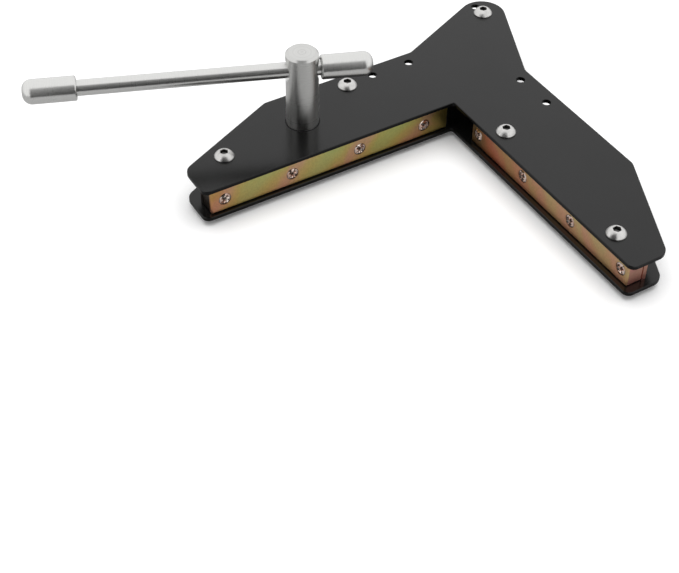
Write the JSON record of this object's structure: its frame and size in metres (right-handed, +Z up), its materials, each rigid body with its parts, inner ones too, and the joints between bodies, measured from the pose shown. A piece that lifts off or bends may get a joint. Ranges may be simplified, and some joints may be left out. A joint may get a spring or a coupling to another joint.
{
  "type": "corner clamp",
  "caption": "Magnetic corner clamp for holding two workpieces square: V-shaped plates, recessed magnetic jaws, a release cam and a sliding T-handle.",
  "frame": {"origin": "the sharp inner corner where the two work faces meet, on the underside of the bottom plate", "axes": "+Z up along the handle post; the left work face looks to -Y and the left arm runs along -X; the right work face looks to -X and the right arm runs along -Y"},
  "size_m": [0.3798, 0.3114, 0.0887],
  "materials": {
    "plate_paint": "semi-gloss black powder coat",
    "yellow_zinc": "iridescent yellow zinc plating on steel",
    "screw_zinc": "yellow zinc plating on steel screws",
    "nickel_plate": "nickel plating",
    "black_oxide": "black oxide",
    "turned_steel": "fine turned, satin",
    "bush_plastic": "moulded black acetal",
    "bright_screw": "bright nickel"
  },
  "bodies": {
    "frame": {"top_plate": "plate_paint", "bottom_plate": "plate_paint", "fixed_jaw_bar": "yellow_zinc", "fixed_jaw_back_strip": "yellow_zinc", "fixed_jaw_magnets": "nickel_plate", "fixed_jaw_screws": "screw_zinc", "upper_post_bush": "bush_plastic", "lower_post_bush": "bush_plastic", "end_spacer": "bright_screw", "middle_spacer": "bright_screw", "apex_spacer": "bright_screw", "top_button_screws": "bright_screw", "bottom_button_screws": "bright_screw"},
    "sliding_jaw": {"sliding_jaw_bar": "yellow_zinc", "sliding_jaw_back_strip": "yellow_zinc", "sliding_jaw_magnets": "nickel_plate", "sliding_jaw_screws": "screw_zinc", "cam_yoke": "black_oxide", "end_guide_fork": "black_oxide"},
    "post": {"handle_post": "turned_steel", "release_cam": "black_oxide", "cam_key": "turned_steel", "post_circlip": "bright_screw"},
    "bar": {"tommy_bar": "turned_steel", "near_bar_cap": "turned_steel", "far_bar_cap": "turned_steel"}
  },
  "joints": [
    {"name": "post_turn", "type": "hinge", "parent": "frame", "child": "post", "pos_m": [-0.1042, 0.0356, 0], "axis": [0, 0, -1], "range_deg": [0, 120]},
    {"name": "jaw_slide", "type": "slide", "parent": "frame", "child": "sliding_jaw", "axis": [0, -1, 0], "range_m": [0, 0.005]},
    {"name": "bar_slide", "type": "slide", "parent": "post", "child": "bar", "axis": [0.9285, -0.3714, 0], "range_m": [-0.0017, 0.1411]}
  ],
  "couplings": [
    {"joint": "jaw_slide", "follows": "post_turn", "m_per_rad": 0.0023873}
  ]
}
